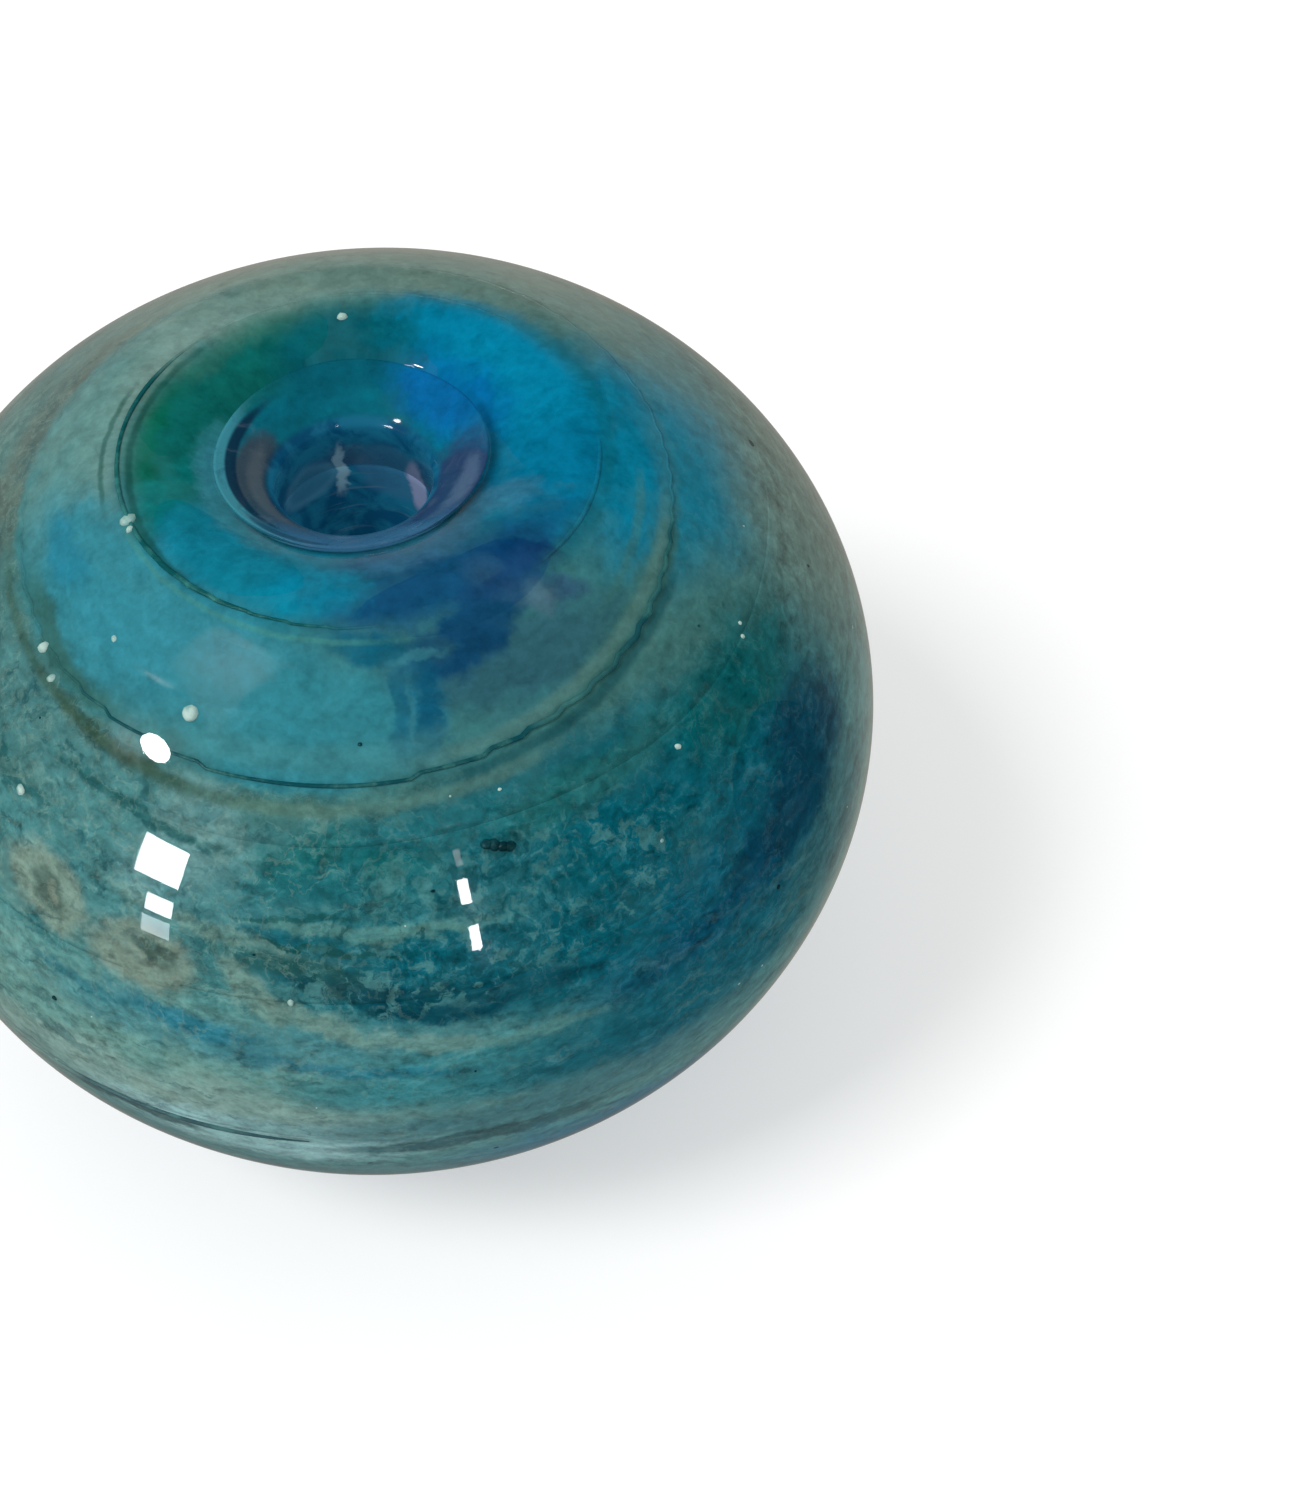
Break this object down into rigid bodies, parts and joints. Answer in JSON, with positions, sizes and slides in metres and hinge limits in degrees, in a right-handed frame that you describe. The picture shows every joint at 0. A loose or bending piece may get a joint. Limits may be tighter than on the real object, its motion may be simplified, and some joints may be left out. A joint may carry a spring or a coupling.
{
  "type": "large-hole art glass bead",
  "caption": "Round, slightly flattened art glass bead with marbled blue-green glass under a clear casing and a dimpled through bore for cord or wire.",
  "frame": {"origin": "the bead's centre, on the bore's axis midway between the two crests", "axes": "+Z along the bore towards the mouth that faces up in the picture; -Y towards the viewer"},
  "size_m": [0.032, 0.032, 0.0242],
  "materials": {
    "bore_sleeve": "gloss",
    "core_gather": "gloss",
    "crown_wrap": "gloss",
    "shoulder_wrap": "gloss",
    "belly_wrap": "gloss",
    "hip_wrap": "gloss",
    "foot_wrap": "gloss",
    "cerulean_patch": "gloss",
    "violet_patch": "gloss",
    "turquoise_patch": "gloss",
    "emerald_patch": "gloss",
    "aqua_patch": "gloss",
    "navy_patch": "gloss",
    "teal_patch": "gloss",
    "tan_patch_left": "gloss",
    "tan_patch_right": "gloss",
    "crown_trail": "gloss",
    "shoulder_trail": "gloss",
    "belly_trail": "gloss",
    "hip_trail": "gloss",
    "pale_frit": "gloss",
    "dark_frit": "gloss",
    "lip_glass": "gloss",
    "clear_casing": "gloss"
  },
  "bodies": {
    "root": {"bore_sleeve": "bore_sleeve", "core_gather": "core_gather", "crown_wrap": "crown_wrap", "shoulder_wrap": "shoulder_wrap", "belly_wrap": "belly_wrap", "hip_wrap": "hip_wrap", "foot_wrap": "foot_wrap", "cerulean_patch": "cerulean_patch", "violet_patch": "violet_patch", "turquoise_patch": "turquoise_patch", "emerald_patch": "emerald_patch", "aqua_patch": "aqua_patch", "navy_patch": "navy_patch", "teal_patch": "teal_patch", "tan_patch_left": "tan_patch_left", "tan_patch_right": "tan_patch_right", "crown_trail": "crown_trail", "shoulder_trail": "shoulder_trail", "belly_trail": "belly_trail", "hip_trail": "hip_trail", "pale_frit": "pale_frit", "dark_frit": "dark_frit", "top_lip": "lip_glass", "bottom_lip": "lip_glass", "clear_casing": "clear_casing"}
  },
  "joints": []
}
